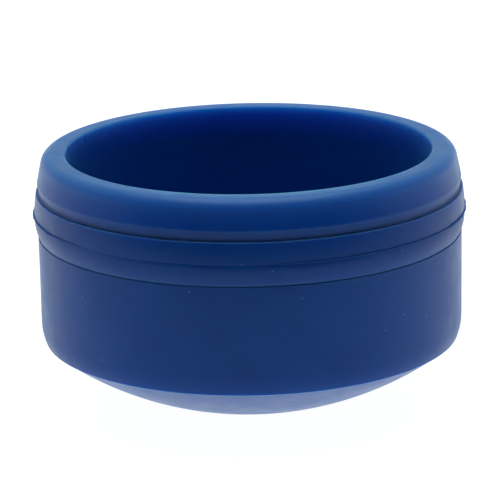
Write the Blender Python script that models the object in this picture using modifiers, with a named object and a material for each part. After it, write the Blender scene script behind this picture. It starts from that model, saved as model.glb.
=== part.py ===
"""Case opening friction ball: a hand tool for screwed watch case backs.

A stiff open cup is held like a stamp, and the ball-shaped friction dome under it
grips the case back. Every piece is a turned solid on the +Z axis, in metres, and
the tool stands on the small contact flat in the middle of its dome, at z = 0.
"""

from math import acos, asin, cos, degrees, radians, sin, sqrt

import bpy

MM = 0.001
GAP = 0.3 * MM                  # clearance between two pieces that touch
TURN_STEPS = 64                 # facets around the axis

# Driving dimensions
BODY_RADIUS = 30.0 * MM         # plain cylinder of the sleeve
RIM_HEIGHT = 36.8 * MM          # top of the rim above the contact flat
DOME_RADIUS = 47.4 * MM         # sphere of the friction face
FLAT_RADIUS = 4.5 * MM          # contact flat in the middle of the dome

# Rim cup
MOUTH_RADIUS = 25.8 * MM
MOUTH_EDGE = 0.4 * MM           # bevel of the mouth's edge
CAVITY_FLOOR_Z = 15.4 * MM
CAVITY_DRAFT = 0.5 * MM         # the cavity is this much narrower at its floor
CAVITY_CORNER = 2.0 * MM        # fillet between the cavity's wall and floor
FLOOR_THICKNESS = 2.4 * MM
CUP_TUBE_RADIUS = 28.0 * MM     # part of the cup that goes down inside the rings
RIM_RADIUS = 29.3 * MM
RIM_ROUNDING = 1.6 * MM
LIP_RADIUS = 29.9 * MM          # the side flares out from the rim to this lip
LIP_Z = 32.8 * MM
LIP_BAND = 0.3 * MM             # straight band round the lip
NECK_RADIUS = 29.7 * MM         # undercut between the lip and the bead
NECK_TOP_Z = 32.2 * MM

# Grip bead
BEAD_TOP_RADIUS = 30.15 * MM
BEAD_TOP_Z = 31.25 * MM
BEAD_CREST_RADIUS = 30.4 * MM
FLASH_RADIUS = 30.7 * MM        # tip of the thin moulding flash round the crest
FLASH_Z = 28.3 * MM
FLASH_ROOT = 0.3 * MM           # thickness of the flash where it leaves the bead
FLASH_TIP = 0.03 * MM
BEAD_FOOT_RADIUS = 29.75 * MM
BEAD_FOOT_Z = 25.4 * MM

# Body sleeve
SHOULDER_BREAK = 0.12 * MM      # tiny bevel that keeps the top shoulder crisp
SLEEVE_ROUNDING = 7.0 * MM      # slow curve that ends in a crisp lower edge
SLEEVE_FOOT_RADIUS = 29.5 * MM
SLEEVE_FOOT_Z = 9.95 * MM
SPIGOT_RADIUS = 26.0 * MM       # plug of the dome inside the sleeve's foot

# Worked out from the driving dimensions
RING_BORE = CUP_TUBE_RADIUS + GAP
NECK_FOOT_Z = BEAD_TOP_Z + GAP
CUP_BOTTOM_Z = CAVITY_FLOOR_Z - FLOOR_THICKNESS
LEDGE_Z = CUP_BOTTOM_Z - GAP
SHOULDER_Z = BEAD_FOOT_Z - GAP
DOME_CENTRE_Z = sqrt(DOME_RADIUS ** 2 - FLAT_RADIUS ** 2)
DOME_EDGE_Z = SLEEVE_FOOT_Z - GAP
DOME_EDGE_RADIUS = sqrt(DOME_RADIUS ** 2 - (DOME_CENTRE_Z - DOME_EDGE_Z) ** 2)

SHARP_ANGLE = radians(28)
MERGE_DISTANCE = 0.00001

BLUE = (0.011, 0.052, 0.205, 1.0)
BLUE_BEAD = (0.009, 0.042, 0.172, 1.0)
BLUE_SLEEVE = (0.014, 0.058, 0.198, 1.0)
PALE_BLUE = (0.090, 0.160, 0.360, 1.0)


def arc(centre_r, centre_z, radius, start, end, steps):
    """Points (r, z) on a circular arc, its angles in degrees from the +r direction."""
    angles = [radians(start + (end - start) * i / steps) for i in range(steps + 1)]
    return [(centre_r + radius * cos(a), centre_z + radius * sin(a)) for a in angles]


def fall(crest_r, crest_z, end_r, end_z, steps):
    """Points of a parabola that leaves the crest upright and reaches the end point."""
    points = []
    for i in range(steps + 1):
        t = i / steps
        points.append((crest_r + (end_r - crest_r) * t * t, crest_z + (end_z - crest_z) * t))
    return points


def make_material(name, colour, roughness):
    material = bpy.data.materials.new(name)
    material.use_nodes = True
    shader = material.node_tree.nodes["Principled BSDF"]
    shader.inputs["Base Color"].default_value = colour
    shader.inputs["Roughness"].default_value = roughness
    shader.inputs["Metallic"].default_value = 0.0
    material.diffuse_color = colour
    return material


def turned(name, outline, closed, material, collection):
    """Turn an outline about +Z; it runs down the outer side, from top to bottom."""
    points = [(r, 0.0, z) for r, z in outline]
    edges = [(i, i + 1) for i in range(len(points) - 1)]
    if closed:
        edges.append((len(points) - 1, 0))
    profile = bpy.data.meshes.new(name + "_profile")
    profile.from_pydata(points, edges, [])
    piece = bpy.data.objects.new(name, profile)
    collection.objects.link(piece)

    screw = piece.modifiers.new("Turn", "SCREW")
    screw.axis = "Z"
    screw.steps = TURN_STEPS
    screw.render_steps = TURN_STEPS
    screw.use_merge_vertices = True
    screw.merge_threshold = MERGE_DISTANCE

    # The turned mesh replaces its profile, so that its sharp edges can be marked.
    depsgraph = bpy.context.evaluated_depsgraph_get()
    mesh = bpy.data.meshes.new_from_object(piece.evaluated_get(depsgraph))
    mesh.name = name
    piece.modifiers.clear()
    piece.data = mesh
    bpy.data.meshes.remove(profile)
    mesh.shade_smooth()
    mesh.set_sharp_from_angle(angle=SHARP_ANGLE)
    mesh.materials.clear()
    mesh.materials.append(material)
    return piece


def make_rim_cup(collection):
    """Open cup: flat rim, flaring lip, and a tube that goes down inside the rings."""
    rim_side_z = RIM_HEIGHT - RIM_ROUNDING
    wall_foot_r = MOUTH_RADIUS - CAVITY_DRAFT
    outline = [(0.0, CAVITY_FLOOR_Z)]
    outline += arc(
        wall_foot_r - CAVITY_CORNER, CAVITY_FLOOR_Z + CAVITY_CORNER, CAVITY_CORNER, -90, 0, 4
    )
    outline += [(MOUTH_RADIUS, RIM_HEIGHT - MOUTH_EDGE)]
    outline += [(MOUTH_RADIUS + MOUTH_EDGE, RIM_HEIGHT)]
    outline += arc(RIM_RADIUS - RIM_ROUNDING, rim_side_z, RIM_ROUNDING, 90, 0, 4)
    outline += [(LIP_RADIUS, LIP_Z)]
    outline += [(LIP_RADIUS, LIP_Z - LIP_BAND)]
    outline += [(NECK_RADIUS, NECK_TOP_Z)]
    outline += [(NECK_RADIUS, NECK_FOOT_Z)]
    outline += [(CUP_TUBE_RADIUS, NECK_FOOT_Z)]
    outline += [(CUP_TUBE_RADIUS, CUP_BOTTOM_Z)]
    outline += [(0.0, CUP_BOTTOM_Z)]
    material = make_material("cup_blue", BLUE, 0.42)
    return turned("rim_cup", outline, False, material, collection)


def make_grip_bead(collection):
    """Bead ring below the lip, with the thin flash fin of its mould round the crest."""
    crest_top_z = FLASH_Z + FLASH_ROOT / 2
    crest_bottom_z = FLASH_Z - FLASH_ROOT / 2
    outline = [(RING_BORE, BEAD_TOP_Z)]
    outline += fall(BEAD_CREST_RADIUS, crest_top_z, BEAD_TOP_RADIUS, BEAD_TOP_Z, 3)[::-1]
    outline += [(FLASH_RADIUS, FLASH_Z + FLASH_TIP / 2)]
    outline += [(FLASH_RADIUS, FLASH_Z - FLASH_TIP / 2)]
    outline += fall(BEAD_CREST_RADIUS, crest_bottom_z, BEAD_FOOT_RADIUS, BEAD_FOOT_Z, 5)
    outline += [(RING_BORE, BEAD_FOOT_Z)]
    material = make_material("bead_blue", BLUE_BEAD, 0.40)
    return turned("grip_bead", outline, True, material, collection)


def make_body_sleeve(collection):
    """Plain cylinder with a crisp shoulder, a slightly drawn-in foot and a stepped bore."""
    corner_r = BODY_RADIUS - SLEEVE_ROUNDING
    turn_under = acos((SLEEVE_FOOT_RADIUS - corner_r) / SLEEVE_ROUNDING)
    corner_z = SLEEVE_FOOT_Z + SLEEVE_ROUNDING * sin(turn_under)
    outline = [(RING_BORE, SHOULDER_Z)]
    outline += [(BODY_RADIUS - SHOULDER_BREAK, SHOULDER_Z)]
    outline += [(BODY_RADIUS, SHOULDER_Z - SHOULDER_BREAK)]
    outline += arc(corner_r, corner_z, SLEEVE_ROUNDING, 0, -degrees(turn_under), 5)
    outline += [(SPIGOT_RADIUS + GAP, SLEEVE_FOOT_Z)]
    outline += [(SPIGOT_RADIUS + GAP, LEDGE_Z)]
    outline += [(RING_BORE, LEDGE_Z)]
    material = make_material("sleeve_blue", BLUE_SLEEVE, 0.45)
    return turned("body_sleeve", outline, True, material, collection)


def make_friction_dome(collection):
    """Ball-shaped friction face with a plug that sits inside the sleeve's foot."""
    edge_angle = asin(DOME_EDGE_RADIUS / DOME_RADIUS)
    flat_angle = asin(FLAT_RADIUS / DOME_RADIUS)
    outline = [(0.0, LEDGE_Z)]
    outline += [(SPIGOT_RADIUS, LEDGE_Z)]
    outline += [(SPIGOT_RADIUS, DOME_EDGE_Z)]
    outline += arc(
        0.0, DOME_CENTRE_Z, DOME_RADIUS, degrees(edge_angle) - 90, degrees(flat_angle) - 90, 9
    )
    outline += [(0.0, 0.0)]
    material = make_material("dome_pale", PALE_BLUE, 0.50)
    return turned("friction_dome", outline, False, material, collection)


def main():
    for old in list(bpy.data.objects):
        bpy.data.objects.remove(old, do_unlink=True)
    collection = bpy.data.collections.new("case_opening_friction_ball")
    bpy.context.scene.collection.children.link(collection)
    make_rim_cup(collection)
    make_grip_bead(collection)
    make_body_sleeve(collection)
    make_friction_dome(collection)


main()
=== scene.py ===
"""Looks of the case opening friction ball: fine surfaces, materials, studio and camera.

Every piece is turned about +Z from a fine outline that follows its CAD solid. Lengths
in the outlines are millimetres; the meshes and everything else are metres.
"""

from math import acos, asin, cos, degrees, pi, radians, sin, sqrt

import bpy
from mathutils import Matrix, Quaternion, Vector, noise


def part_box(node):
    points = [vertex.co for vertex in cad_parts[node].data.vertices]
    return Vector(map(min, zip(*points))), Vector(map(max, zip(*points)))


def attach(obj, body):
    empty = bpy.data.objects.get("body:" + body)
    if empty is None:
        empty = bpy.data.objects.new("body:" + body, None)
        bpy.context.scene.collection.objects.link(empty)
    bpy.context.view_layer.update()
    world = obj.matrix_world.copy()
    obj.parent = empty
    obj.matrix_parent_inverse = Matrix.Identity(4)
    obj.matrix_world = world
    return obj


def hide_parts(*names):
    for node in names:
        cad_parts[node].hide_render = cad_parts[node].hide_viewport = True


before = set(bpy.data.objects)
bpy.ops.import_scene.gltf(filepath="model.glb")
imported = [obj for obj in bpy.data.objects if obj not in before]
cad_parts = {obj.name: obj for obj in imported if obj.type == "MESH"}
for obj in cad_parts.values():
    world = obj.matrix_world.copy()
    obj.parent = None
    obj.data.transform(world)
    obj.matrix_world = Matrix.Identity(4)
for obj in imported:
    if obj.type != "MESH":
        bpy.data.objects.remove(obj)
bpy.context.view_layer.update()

MM = 0.001
SEGMENTS = 448                  # steps round the axis
SMOOTH_BELOW = radians(32)      # sharper edges than this stay crisp
SEAM = 0.008                    # hairline between two pieces
SAME_POINT = 1e-4               # points of an outline that are closer are one point


def cad_top(node):
    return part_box(node)[1].z / MM


def cad_foot(node):
    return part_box(node)[0].z / MM


def cad_radius(node):
    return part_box(node)[1].x / MM


# Sizes read from the frame
RIM_HEIGHT = cad_top("rim_cup")
CUP_BOTTOM_Z = cad_foot("rim_cup")
FLASH_RADIUS = cad_radius("grip_bead")
BEAD_TOP_Z = cad_top("grip_bead")
SHOULDER_Z = cad_top("body_sleeve")
BODY_RADIUS = cad_radius("body_sleeve")
SLEEVE_FOOT_Z = cad_foot("body_sleeve")
SPIGOT_TOP_Z = cad_top("friction_dome")

# Rim cup
MOUTH_RADIUS = 25.8
MOUTH_EDGE = 0.35               # rounding of the mouth's edge
CAVITY_FLOOR_Z = 15.4
CAVITY_DRAFT = 0.5
CAVITY_CORNER = 2.0
TUBE_RADIUS = 28.0
RIM_RADIUS = 29.35
RIM_ROUNDING = 1.6
FLARE_ANGLE = 9.0               # lean of the side that flares from the rim to the lip
LIP_RADIUS = 29.9
LIP_Z = 32.75
LIP_TURN = ((0.02, 0.12), (0.05, 0.24))     # steps inward and down under the lip
NECK_RADIUS = 29.7
NECK_TOP_Z = 31.6
NECK_BLEND = 0.1                # the undercut ends this far below the neck's top
TUBE_BREAK = 0.1                # bevel at the bottom of the tube

# Grip bead
RING_BORE = 28.3
BEAD_TOP_RADIUS = 30.15
BEAD_CREST_RADIUS = 30.4
FLASH_Z = 28.3
FLASH_HALF = 0.025              # half the thickness of the flash at its root
FLASH_TIP_HALF = 0.01           # and at its tip
FLASH_ROOT_DEPTH = 0.05         # the flash starts this deep inside the bead
CUT_DEPTH = 0.02                # scored line under the flash
CUT_MIDDLE = 0.04               # its middle and its end, below the flash
CUT_END = 0.09
FLANK_TOP_Z = 27.5              # the side below the flash starts to fall inward here
BEAD_FOOT_RADIUS = 29.85
FOOT_LEAN = 25.0                # lean of the bead's side at its foot

# Where one piece stands on the ledge of the piece below it
NECK_FILLET = 0.15
FOOT_FILLET = 0.06
EDGE_ROUNDING = 0.05

# Sleeve and dome
SHOULDER_BREAK = 0.05
SHOULDER_BAND = 0.2             # narrow straight band under the shoulder's edge
SLEEVE_ROUNDING = 7.0
SLEEVE_FOOT_RADIUS = 29.5
SLEEVE_FOOT_BREAK = 0.12
CLEARANCE = 0.3                 # round the dome's plug and above it
SPIGOT_RADIUS = 26.0
DOME_RADIUS = 47.4
FLAT_RADIUS = 4.5
FLAT_STEP = 0.3                 # first ring of the contact flat, inside its edge
DOME_CENTRE_Z = sqrt(DOME_RADIUS ** 2 - FLAT_RADIUS ** 2)
DOME_EDGE_RADIUS = SLEEVE_FOOT_RADIUS - CLEARANCE
DOME_EDGE_BREAK = 0.05
DOME_EDGE_RISE = 0.02


# Outlines

def line(start, end, steps):
    """Points (r, z) from start to end, both included."""
    run, rise = end[0] - start[0], end[1] - start[1]
    return [(start[0] + run * i / steps, start[1] + rise * i / steps) for i in range(steps + 1)]


def arc(centre_r, centre_z, radius, start, end, steps):
    """Points (r, z) on a circular arc, its angles in degrees from the +r direction."""
    angles = [radians(start + (end - start) * i / steps) for i in range(steps + 1)]
    return [(centre_r + radius * cos(a), centre_z + radius * sin(a)) for a in angles]


def fall(crest, end, steps):
    """Points of a parabola that leaves the crest upright and reaches the end point."""
    run, drop = end[0] - crest[0], end[1] - crest[1]
    return [
        (crest[0] + run * (i / steps) ** 2, crest[1] + drop * i / steps)
        for i in range(steps + 1)
    ]


def tidy(points):
    """The outline without the doubled points where two stretches meet."""
    kept = [points[0]]
    for point in points[1:]:
        if abs(point[0] - kept[-1][0]) + abs(point[1] - kept[-1][1]) > SAME_POINT:
            kept.append(point)
    return kept


def turn(name, outline, material, shape=None):
    """Mesh turned about +Z; shape(r, z, angle) may move each point, in millimetres."""
    points = tidy(outline)
    open_ended = points[0][0] == 0.0
    rings = points[1:-1] if open_ended else points
    verts = []
    for step in range(SEGMENTS):
        angle = 2 * pi * step / SEGMENTS
        for r, z in rings:
            if shape:
                r, z = shape(r, z, angle)
            verts.append((r * sin(angle) * MM, -r * cos(angle) * MM, z * MM))
    count = len(rings)
    faces = []
    for step in range(SEGMENTS):
        here, there = step * count, (step + 1) % SEGMENTS * count
        for i in range(count - 1):
            faces.append((here + i, here + i + 1, there + i + 1, there + i))
        if not open_ended:
            faces.append((here + count - 1, here, there, there + count - 1))
    if open_ended:
        for end, ring in ((points[0], 0), (points[-1], count - 1)):
            verts.append((0.0, 0.0, end[1] * MM))
            hub = len(verts) - 1
            for step in range(SEGMENTS):
                here = step * count + ring
                there = (step + 1) % SEGMENTS * count + ring
                faces.append((hub, here, there) if ring == 0 else (hub, there, here))
    mesh = bpy.data.meshes.new(name)
    mesh.from_pydata(verts, [], faces)
    mesh.validate()
    mesh.shade_smooth()
    mesh.set_sharp_from_angle(angle=SMOOTH_BELOW)
    mesh.materials.append(material)
    piece = bpy.data.objects.new(name, mesh)
    bpy.context.scene.collection.objects.link(piece)
    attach(piece, "root")
    return piece


# Small irregularities of a moulded part, in millimetres; azimuths are degrees from the front
FLASH_TRIMMED = (-56, 14)       # the flash was trimmed off between these azimuths
FLASH_STUMP = 0.04              # share of its height that was left there
NICKED = (-120, -30)            # the mouth's edge has most of its nicks here
NICK_DEPTH = 0.22
NICK_RARITY = 0.18
MOUTH_WAVE = 0.02
RIM_WAVE = 0.015
BEAD_WAVE = 0.018
FLASH_WANDER = 0.07             # the flash's line rises and falls this much
FLASH_SHAKE = 0.03
FLASH_REACH = 0.8               # and takes this much of the bead with it
WALL_WAVE = 0.02
WALL_SINK = 0.012

def wander(angle, scale, seed):
    """Smooth random value from -1 to 1 that closes on itself round the axis."""
    return noise.noise(Vector((cos(angle) * scale, sin(angle) * scale, seed)))


def window(angle, start, end, fade):
    """1 between two azimuths in degrees, falling to 0 over fade degrees outside them."""
    azimuth = degrees(angle)
    middle, half = (start + end) / 2, (end - start) / 2
    away = abs((azimuth - middle + 180) % 360 - 180) - half
    return min(1.0, max(0.0, 1.0 - away / fade))


def flash_height(angle):
    """Share of the flash's full height that was left standing at this azimuth."""
    start, end = FLASH_TRIMMED
    standing = max(window(angle, -180, start, 8), window(angle, end, 180, 12))
    ragged = 0.78 + 0.3 * wander(angle, 9, 3.1) + 0.25 * wander(angle, 40, 7.7)
    return FLASH_STUMP + (1.0 - FLASH_STUMP) * standing * min(1.0, max(0.25, ragged))


def cup_shape(r, z, angle):
    """Nicks along the mouth's edge and a faint waviness of the rim and lip."""
    if z > RIM_HEIGHT - 1.5 and r < MOUTH_RADIUS + 0.4:
        nicks = max(0.0, wander(angle, 70, 2.2) - NICK_RARITY)
        r += NICK_DEPTH * nicks * (0.25 + 0.75 * window(angle, *NICKED, 30))
        r += MOUTH_WAVE * wander(angle, 16, 9.4)
    if z > BEAD_TOP_Z and r > MOUTH_RADIUS + 1.0:
        r += RIM_WAVE * wander(angle, 4, 5.0 + z * 0.1)
    return r, z


def bead_shape(r, z, angle):
    """The ragged flash, with the rest of the bead slightly uneven."""
    fin = r - BEAD_CREST_RADIUS
    if fin > 0.03:
        r = BEAD_CREST_RADIUS + fin * flash_height(angle)
    if r > BEAD_FOOT_RADIUS:
        r += BEAD_WAVE * wander(angle, 5, z * 0.3)
        near = max(0.0, 1.0 - abs(z - FLASH_Z) / FLASH_REACH)
        z += near * (FLASH_WANDER * wander(angle, 6, 1.3) + FLASH_SHAKE * wander(angle, 26, 4.6))
    return r, z


def sleeve_shape(r, z, angle):
    """A wall that is a few hundredths of a millimetre off a true cylinder."""
    if r > BODY_RADIUS - 1.0:
        r += WALL_WAVE * wander(angle, 3, z * 0.12) - WALL_SINK
    return r, z


# Materials

def node(tree, kind, **values):
    """New shader node; each value sets a property, or else the input of that name."""
    made = tree.nodes.new("ShaderNode" + kind)
    for key, value in values.items():
        if hasattr(made, key):
            setattr(made, key, value)
        else:
            made.inputs[key.replace("_", " ")].default_value = value
    return made


def paint_light_band(tree, place, colour, band):
    """Blend a colour towards the band's tint between two heights: a painted lighter band that
    stands in for glow and highlights.
    """
    start_z, end_z, power, tint = band
    height = node(tree, "SeparateXYZ")
    painted_share = node(tree, "MapRange")
    painted_share.inputs["From Min"].default_value = start_z * MM
    painted_share.inputs["From Max"].default_value = end_z * MM
    curve = node(tree, "Math", operation="POWER")
    curve.inputs[1].default_value = power
    blend = node(tree, "Mix", data_type="RGBA")
    blend.inputs["B"].default_value = (*tint, 1.0)
    tree.links.new(place, height.inputs[0])
    tree.links.new(height.outputs["Z"], painted_share.inputs["Value"])
    tree.links.new(painted_share.outputs["Result"], curve.inputs[0])
    tree.links.new(curve.outputs[0], blend.inputs["Factor"])
    tree.links.new(colour, blend.inputs["A"])
    return blend.outputs["Result"]


def shorten(tree, place, scale):
    """Let light travel less far in the thin undercut neck than in the thick rim."""
    height = node(tree, "SeparateXYZ")
    reach = node(tree, "MapRange")
    reach.inputs["From Min"].default_value = BEAD_TOP_Z * MM
    reach.inputs["From Max"].default_value = PAINTED_GLOW_FOOT_Z * MM
    reach.inputs["To Min"].default_value = NECK_REACH
    tree.links.new(place, height.inputs[0])
    tree.links.new(height.outputs["Z"], reach.inputs["Value"])
    tree.links.new(reach.outputs["Result"], scale)


# Texture of the elastomer; the scales are noise cells per metre
CLOUD_SCALE, MOTTLE_SCALE, MOTTLE_SHARE = 90.0, 700.0, 0.45
DUST_SCALE, DUST_SIZE, DUST_STRENGTH = 420.0, 0.06, 0.55
DUST_PATCH_SCALE, DUST_RARITY = 160.0, 0.60
HAZE_SCALE, HAZE_GLOSSIER, HAZE_DULLER = 240.0, 0.05, 0.06
GRAIN_SCALE, PEEL_SCALE, PEEL_SHARE = 3200.0, 420.0, 2.5
RELIEF_DEPTH = 0.00004
SHEEN_WEIGHT, SHEEN_ROUGHNESS = 0.12, 0.35


def elastomer(name, deep, pale, roughness, specular, grain, reach, bands=()):
    """Moulded elastomer: mottled pigment, satin haze, dust specks and a fine grain."""
    material = bpy.data.materials.new(name)
    material.use_nodes = True
    tree = material.node_tree
    shader = tree.nodes["Principled BSDF"]
    shader.inputs["Specular IOR Level"].default_value = specular
    shader.inputs["Specular Tint"].default_value = GLOSS_TINT
    shader.inputs["Sheen Weight"].default_value = SHEEN_WEIGHT
    shader.inputs["Sheen Roughness"].default_value = SHEEN_ROUGHNESS
    shader.inputs["Sheen Tint"].default_value = SHEEN_TINT
    shader.inputs["Subsurface Weight"].default_value = 1.0
    shader.inputs["Subsurface Radius"].default_value = reach
    shader.inputs["Subsurface Scale"].default_value = 1.0
    link = tree.links.new
    place = node(tree, "TexCoord").outputs["Object"]

    # Pigment: broad clouds and small mottling
    clouds = node(tree, "TexNoise", Scale=CLOUD_SCALE, Detail=3.0, Roughness=0.55)
    mottle = node(tree, "TexNoise", Scale=MOTTLE_SCALE, Detail=4.0, Roughness=0.6)
    mix = node(tree, "Math", operation="MULTIPLY_ADD")
    mix.inputs[1].default_value = MOTTLE_SHARE
    ramp = node(tree, "ValToRGB")
    ramp.color_ramp.elements[0].position = 0.50
    ramp.color_ramp.elements[0].color = (*deep, 1.0)
    ramp.color_ramp.elements[1].position = 0.95
    ramp.color_ramp.elements[1].color = (*pale, 1.0)
    link(place, clouds.inputs["Vector"])
    link(place, mottle.inputs["Vector"])
    link(mottle.outputs["Fac"], mix.inputs[0])
    link(clouds.outputs["Fac"], mix.inputs[2])
    link(mix.outputs[0], ramp.inputs["Fac"])

    # Dust: a few tiny pale specks
    cells = node(tree, "TexVoronoi", Scale=DUST_SCALE, Randomness=1.0)
    dot = node(tree, "Math", operation="LESS_THAN")
    dot.inputs[1].default_value = DUST_SIZE
    rare = node(tree, "TexNoise", Scale=DUST_PATCH_SCALE, Detail=1.0)
    some = node(tree, "Math", operation="GREATER_THAN")
    some.inputs[1].default_value = DUST_RARITY
    both = node(tree, "Math", operation="MULTIPLY")
    share = node(tree, "Math", operation="MULTIPLY")
    share.inputs[1].default_value = DUST_STRENGTH
    tint = node(tree, "Mix", data_type="RGBA")
    tint.inputs["B"].default_value = (*DUST, 1.0)
    link(place, cells.inputs["Vector"])
    link(place, rare.inputs["Vector"])
    link(cells.outputs["Distance"], dot.inputs[0])
    link(rare.outputs["Fac"], some.inputs[0])
    link(dot.outputs[0], both.inputs[0])
    link(some.outputs[0], both.inputs[1])
    link(both.outputs[0], share.inputs[0])
    link(share.outputs[0], tint.inputs["Factor"])
    pigment = ramp.outputs["Color"]
    # Painted light: each band lightens the blue between two heights
    for band in bands:
        pigment = paint_light_band(tree, place, pigment, band)
    if reach == CUP_REACH:
        shorten(tree, place, shader.inputs["Subsurface Scale"])
    link(pigment, tint.inputs["A"])
    link(tint.outputs["Result"], shader.inputs["Base Color"])

    # Haze: patches that are a little glossier or duller
    haze = node(tree, "TexNoise", Scale=HAZE_SCALE, Detail=5.0, Roughness=0.6)
    spread = node(tree, "MapRange")
    spread.inputs["From Min"].default_value = 0.3
    spread.inputs["From Max"].default_value = 0.7
    spread.inputs["To Min"].default_value = roughness - HAZE_GLOSSIER
    spread.inputs["To Max"].default_value = roughness + HAZE_DULLER
    link(place, haze.inputs["Vector"])
    link(haze.outputs["Fac"], spread.inputs["Value"])
    link(spread.outputs["Result"], shader.inputs["Roughness"])

    # Grain: fine texture of the mould over a very slight orange peel
    fine = node(tree, "TexNoise", Scale=GRAIN_SCALE, Detail=3.0, Roughness=0.65)
    peel = node(tree, "TexNoise", Scale=PEEL_SCALE, Detail=2.0)
    relief = node(tree, "Math", operation="MULTIPLY_ADD")
    relief.inputs[1].default_value = PEEL_SHARE
    bump = node(tree, "Bump", Strength=grain, Distance=RELIEF_DEPTH)
    link(place, fine.inputs["Vector"])
    link(place, peel.inputs["Vector"])
    link(peel.outputs["Fac"], relief.inputs[0])
    link(fine.outputs["Fac"], relief.inputs[2])
    link(relief.outputs[0], bump.inputs["Height"])
    link(bump.outputs["Normal"], shader.inputs["Normal"])
    return material


# How far light gets inside the elastomer, for each colour
CUP_REACH = (0.0012, 0.0060, 0.0105)
BODY_REACH = (0.0002, 0.0008, 0.0016)
NECK_REACH = 0.15               # share of the cup's reach that the neck has
PAINTED_GLOW_FOOT_Z = 33.0              # the rim's blue is painted lighter from here up, a painted glow

BLUE_DEEP = (0.0006, 0.046, 0.255)
BLUE_PALE = (0.0012, 0.055, 0.290)
# The dome's blue is a little paler than the body's: partly the face's own milkier tone, partly
# painted light from the floor below
DOME_DEEP = (0.003, 0.058, 0.280)
DOME_PALE = (0.007, 0.073, 0.325)
# Painted glow: a lighter blue on the rim's top and mouth that stands in for light shining
# through the thin rim
RIM_PAINTED_GLOW = (0.020, 0.112, 0.300)
# The fin's blue is lighter than the bead's: painted light that softens the shade along the fin
FLASH_DEEP = (0.0010, 0.066, 0.300)
BEAD_DEEP = (0.0006, 0.042, 0.235)
BEAD_PALE = (0.0012, 0.050, 0.268)
DUST = (0.10, 0.20, 0.48)
GLOSS_TINT = (0.80, 1.0, 1.0, 1.0)
SHEEN_TINT = (0.15, 0.75, 1.0, 1.0)

# Painted light: a lighter blue for thin bands at edges, standing in for highlights and for light
# where there is shade
EDGE_PAINTED_LIGHT = (0.016, 0.098, 0.360)

# The rim's band is painted glow: the blue turns lighter from the glow's foot up to the rim's top
CUP_BANDS = ((PAINTED_GLOW_FOOT_Z, RIM_HEIGHT, 1.6, RIM_PAINTED_GLOW),)
# Painted highlight along the bead's top edge; painted light on the bead's foot, over the shade
# under the bead's overhang
BEAD_BANDS = (
    (BEAD_TOP_Z - 0.08, BEAD_TOP_Z, 1.0, EDGE_PAINTED_LIGHT),
    (SHOULDER_Z + 0.55, SHOULDER_Z, 1.0, EDGE_PAINTED_LIGHT),
)
# Painted highlight along the sleeve's shoulder
SLEEVE_BANDS = ((SHOULDER_Z - 0.12, SHOULDER_Z, 1.0, EDGE_PAINTED_LIGHT),)

CUP_BLUE = elastomer(
    "cup_blue", BLUE_DEEP, BLUE_PALE, 0.36, 0.18, 0.25, CUP_REACH, CUP_BANDS
)
BEAD_BLUE = elastomer(
    "bead_blue", BEAD_DEEP, BEAD_PALE, 0.36, 0.18, 0.25, BODY_REACH, BEAD_BANDS
)
SLEEVE_BLUE = elastomer(
    "sleeve_blue", BLUE_DEEP, BLUE_PALE, 0.38, 0.18, 0.30, BODY_REACH, SLEEVE_BANDS
)
DOME_BLUE = elastomer("dome_pale", DOME_DEEP, DOME_PALE, 0.38, 0.60, 0.35, BODY_REACH)


def flash_material():
    """The fin is too thin to glow, and its ragged edge is duller than the bead."""
    # Its lighter blue is painted light against the shade along the fin
    material = elastomer("flash_blue", FLASH_DEEP, EDGE_PAINTED_LIGHT, 0.50, 0.20, 0.40, BODY_REACH)
    material.node_tree.nodes["Principled BSDF"].inputs["Subsurface Weight"].default_value = 0.0
    return material


FLASH_BLUE = flash_material()


# Pieces

def make_rim_cup():
    """Open cup with its rounded rim, the flaring lip and the undercut neck."""
    side_z = RIM_HEIGHT - RIM_ROUNDING
    wall_foot_r = MOUTH_RADIUS - CAVITY_DRAFT
    outline = line((0.0, CAVITY_FLOOR_Z), (wall_foot_r - CAVITY_CORNER, CAVITY_FLOOR_Z), 12)
    outline += arc(
        wall_foot_r - CAVITY_CORNER, CAVITY_FLOOR_Z + CAVITY_CORNER, CAVITY_CORNER, -90, 0, 10
    )
    edge_z = RIM_HEIGHT - MOUTH_EDGE
    outline += line((wall_foot_r, CAVITY_FLOOR_Z + CAVITY_CORNER), (MOUTH_RADIUS, edge_z), 20)
    outline += arc(MOUTH_RADIUS + MOUTH_EDGE, edge_z, MOUTH_EDGE, 180, 90, 6)
    outline += line(
        (MOUTH_RADIUS + MOUTH_EDGE, RIM_HEIGHT), (RIM_RADIUS - RIM_ROUNDING, RIM_HEIGHT), 4
    )
    outline += arc(RIM_RADIUS - RIM_ROUNDING, side_z, RIM_ROUNDING, 90, FLARE_ANGLE, 10)
    outline += line(outline[-1], (LIP_RADIUS, LIP_Z), 10)[1:]
    outline += [(LIP_RADIUS - inward, LIP_Z - down) for inward, down in LIP_TURN]
    outline += line(outline[-1], (NECK_RADIUS, NECK_TOP_Z), 4)
    foot_z = BEAD_TOP_Z + SEAM
    fillet_z = foot_z + NECK_FILLET
    outline += line((NECK_RADIUS, NECK_TOP_Z - NECK_BLEND), (NECK_RADIUS, fillet_z), 3)
    outline += arc(NECK_RADIUS + NECK_FILLET, fillet_z, NECK_FILLET, 180, 270, 6)
    outline += line((TUBE_RADIUS, foot_z), (TUBE_RADIUS, CUP_BOTTOM_Z), 2)
    outline += line((TUBE_RADIUS - TUBE_BREAK, CUP_BOTTOM_Z), (0.0, CUP_BOTTOM_Z), 4)
    cup = turn("rim_cup_moulding", outline, CUP_BLUE, cup_shape)
    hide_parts("rim_cup")


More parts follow.
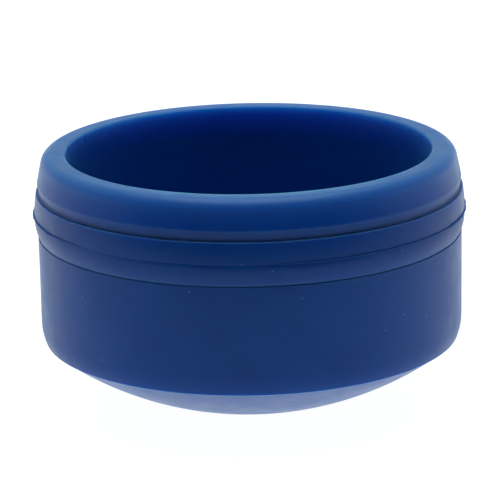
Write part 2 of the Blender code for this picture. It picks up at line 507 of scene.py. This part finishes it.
def make_grip_bead():
    """Bead ring: a narrow ledge on top, a scored line and a parabola to its foot."""
    outline = line((RING_BORE, BEAD_TOP_Z), (NECK_RADIUS, BEAD_TOP_Z), 3)
    edge_r, edge_z = BEAD_TOP_RADIUS - EDGE_ROUNDING, BEAD_TOP_Z - EDGE_ROUNDING
    outline += arc(edge_r, edge_z, EDGE_ROUNDING, 90, 10, 4)
    crest = (BEAD_CREST_RADIUS, FLASH_Z)
    outline += fall(crest, (BEAD_TOP_RADIUS, edge_z - EDGE_ROUNDING), 16)[:0:-1]
    outline += [crest, (BEAD_CREST_RADIUS - CUT_DEPTH, FLASH_Z - CUT_MIDDLE)]
    foot_z = SHOULDER_Z + SEAM
    fillet_z = foot_z + FOOT_FILLET
    lean = radians(FOOT_LEAN)
    foot = (BEAD_FOOT_RADIUS, fillet_z + FOOT_FILLET * sin(lean))
    outline += [(BEAD_CREST_RADIUS, FLASH_Z - CUT_END)]
    outline += fall((BEAD_CREST_RADIUS, FLANK_TOP_Z), foot, 20)
    centre_r = BEAD_FOOT_RADIUS + FOOT_FILLET * cos(lean)
    outline += arc(centre_r, fillet_z, FOOT_FILLET, 180 - FOOT_LEAN, 270, 5)
    outline += [(RING_BORE, foot_z)]
    bead = turn("grip_bead_ring", outline, BEAD_BLUE, bead_shape)
    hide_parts("grip_bead")


def make_flash():
    """Thin ragged fin that the mould left round the crest of the bead."""
    root = BEAD_CREST_RADIUS - FLASH_ROOT_DEPTH
    tip = FLASH_RADIUS - FLASH_TIP_HALF
    outline = [(root, FLASH_Z + FLASH_HALF), (tip, FLASH_Z + FLASH_TIP_HALF)]
    outline += [(tip, FLASH_Z - FLASH_TIP_HALF), (root, FLASH_Z - FLASH_HALF)]
    fin = turn("grip_bead_flash", outline, FLASH_BLUE, bead_shape)
    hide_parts("grip_bead")


def make_body_sleeve():
    """Plain wall with a crisp shoulder and a slow curve down to its sharp foot."""
    corner_r = BODY_RADIUS - SLEEVE_ROUNDING
    turn_under = acos((SLEEVE_FOOT_RADIUS - corner_r) / SLEEVE_ROUNDING)
    corner_z = SLEEVE_FOOT_Z + SLEEVE_ROUNDING * sin(turn_under)
    break_r = BODY_RADIUS - SHOULDER_BREAK
    outline = line((RING_BORE, SHOULDER_Z), (BEAD_FOOT_RADIUS, SHOULDER_Z), 3)
    outline += arc(break_r, SHOULDER_Z - SHOULDER_BREAK, SHOULDER_BREAK, 90, 0, 5)
    wall_top_z = SHOULDER_Z - SHOULDER_BREAK - SHOULDER_BAND
    outline += line((BODY_RADIUS, wall_top_z), (BODY_RADIUS, corner_z), 16)
    outline += arc(corner_r, corner_z, SLEEVE_ROUNDING, 0, -degrees(turn_under), 12)
    outline += [(SLEEVE_FOOT_RADIUS - SLEEVE_FOOT_BREAK, SLEEVE_FOOT_Z)]
    bore = SPIGOT_RADIUS + CLEARANCE
    ledge_z = CUP_BOTTOM_Z - CLEARANCE
    outline += [(bore, SLEEVE_FOOT_Z), (bore, ledge_z), (RING_BORE, ledge_z)]
    sleeve = turn("body_sleeve_wall", outline, SLEEVE_BLUE, sleeve_shape)
    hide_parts("body_sleeve")


def make_friction_dome():
    """Ball-shaped friction face whose edge tucks up against the sleeve's foot."""
    edge_angle = degrees(asin(DOME_EDGE_RADIUS / DOME_RADIUS))
    flat_angle = degrees(asin(FLAT_RADIUS / DOME_RADIUS))
    edge_z = DOME_CENTRE_Z - sqrt(DOME_RADIUS ** 2 - DOME_EDGE_RADIUS ** 2)
    outline = line((0.0, SPIGOT_TOP_Z), (SPIGOT_RADIUS, SPIGOT_TOP_Z), 4)
    rim_z = edge_z + DOME_EDGE_RISE
    outline += [(SPIGOT_RADIUS, rim_z), (DOME_EDGE_RADIUS - DOME_EDGE_BREAK, rim_z)]
    outline += arc(0.0, DOME_CENTRE_Z, DOME_RADIUS, edge_angle - 90, flat_angle - 90, 48)
    outline += line((FLAT_RADIUS - FLAT_STEP, 0.0), (0.0, 0.0), 4)
    dome = turn("friction_dome_face", outline, DOME_BLUE)
    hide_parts("friction_dome")


make_rim_cup()
make_grip_bead()
make_flash()
make_body_sleeve()
make_friction_dome()


# Studio

FLOOR_HALF = 4.0
FLOOR_SHADE, FLOOR_ROUGHNESS, FLOOR_GLOW = (0.18, 0.18, 0.18, 1.0), 0.9, 0.97
FLAG_SHADE = (0.01, 0.01, 0.01, 1.0)
FLAG_DISTANCE, FLAG_HALF_WIDTH, FLAG_HEIGHT = 0.150, 0.40, 0.33
SOFTBOX_PLACE, SOFTBOX_TARGET = (0.0, 0.03, 0.55), (0.0, 0.03, 0.0)
SOFTBOX_WIDTH, SOFTBOX_DEPTH, SOFTBOX_WATTS = 0.42, 0.60, 2.6
SKY_STOPS = ((0.04, 1.05), (0.16, 0.50))    # height above the horizon, brightness


def floor_material():
    """Pale sheet that glows a little, like a light table, so that shadows stay faint."""
    material = bpy.data.materials.new("studio_floor")
    material.use_nodes = True
    shader = material.node_tree.nodes["Principled BSDF"]
    shader.inputs["Base Color"].default_value = FLOOR_SHADE
    shader.inputs["Roughness"].default_value = FLOOR_ROUGHNESS
    shader.inputs["Specular IOR Level"].default_value = 0.0
    shader.inputs["Emission Color"].default_value = (1.0, 1.0, 1.0, 1.0)
    shader.inputs["Emission Strength"].default_value = FLOOR_GLOW
    return material


def card(name, corners, material):
    mesh = bpy.data.meshes.new(name)
    mesh.from_pydata(corners, [], [(0, 1, 2, 3)])
    mesh.materials.append(material)
    made = bpy.data.objects.new(name, mesh)
    bpy.context.scene.collection.objects.link(made)
    return made


def area_light(name, location, target, width, depth, energy):
    light = bpy.data.lights.new(name, "AREA")
    light.shape = "RECTANGLE"
    light.size, light.size_y = width, depth
    light.energy = energy
    made = bpy.data.objects.new(name, light)
    made.location = location
    made.rotation_euler = (Vector(target) - Vector(location)).to_track_quat("-Z", "Y").to_euler()
    bpy.context.scene.collection.objects.link(made)
    return made


def flag_material():
    material = bpy.data.materials.new("studio_flag")
    material.use_nodes = True
    shader = material.node_tree.nodes["Principled BSDF"]
    shader.inputs["Base Color"].default_value = FLAG_SHADE
    shader.inputs["Specular IOR Level"].default_value = 0.0
    return material


card(
    "studio_floor",
    [(-FLOOR_HALF, -FLOOR_HALF, 0.0), (FLOOR_HALF, -FLOOR_HALF, 0.0),
     (FLOOR_HALF, FLOOR_HALF, 0.0), (-FLOOR_HALF, FLOOR_HALF, 0.0)],
    floor_material(),
)

# A dark flag in front keeps the near side of the blue deep; the camera doesn't see it.
flag = card(
    "studio_flag",
    [(-FLAG_HALF_WIDTH, -FLAG_DISTANCE, 0.0), (FLAG_HALF_WIDTH, -FLAG_DISTANCE, 0.0),
     (FLAG_HALF_WIDTH, -FLAG_DISTANCE, FLAG_HEIGHT),
     (-FLAG_HALF_WIDTH, -FLAG_DISTANCE, FLAG_HEIGHT)],
    flag_material(),
)
flag.visible_camera = False

area_light(
    "softbox_top", SOFTBOX_PLACE, SOFTBOX_TARGET, SOFTBOX_WIDTH, SOFTBOX_DEPTH, SOFTBOX_WATTS
)

world = bpy.data.worlds.new("studio_world")
world.use_nodes = True
sky = world.node_tree
sky_place = node(sky, "TexCoord").outputs["Generated"]
sky_split = node(sky, "SeparateXYZ")
sky_ramp = node(sky, "ValToRGB")
for stop, (height, bright) in zip(sky_ramp.color_ramp.elements, SKY_STOPS):
    stop.position = height
    stop.color = (bright, bright, bright, 1.0)
sky.links.new(sky_place, sky_split.inputs[0])
sky.links.new(sky_split.outputs["Z"], sky_ramp.inputs["Fac"])
sky.links.new(sky_ramp.outputs["Color"], sky.nodes["Background"].inputs["Color"])
bpy.context.scene.world = world
bpy.context.scene.view_settings.view_transform = "Standard"

# Camera at the photograph's height and distance, turned slightly about its own axis
CAMERA_PLACE = Vector((0.0, -0.37531, 0.12875))
CAMERA_TARGET = Vector((-0.00006, 0.0, 0.02173))
CAMERA_LENS = 197.41
CAMERA_ROLL = radians(-1.14)
camera_data = bpy.data.cameras.new("camera")
camera_data.lens = CAMERA_LENS
camera_data.sensor_width = 36.0
camera_data.clip_start = 0.01
camera_data.clip_end = 20.0
camera = bpy.data.objects.new("camera", camera_data)
camera.location = CAMERA_PLACE
aim = (CAMERA_TARGET - CAMERA_PLACE).to_track_quat("-Z", "Y")
camera.rotation_mode = "QUATERNION"
camera.rotation_quaternion = aim @ Quaternion((0.0, 0.0, 1.0), CAMERA_ROLL)
bpy.context.scene.collection.objects.link(camera)
bpy.context.scene.camera = camera
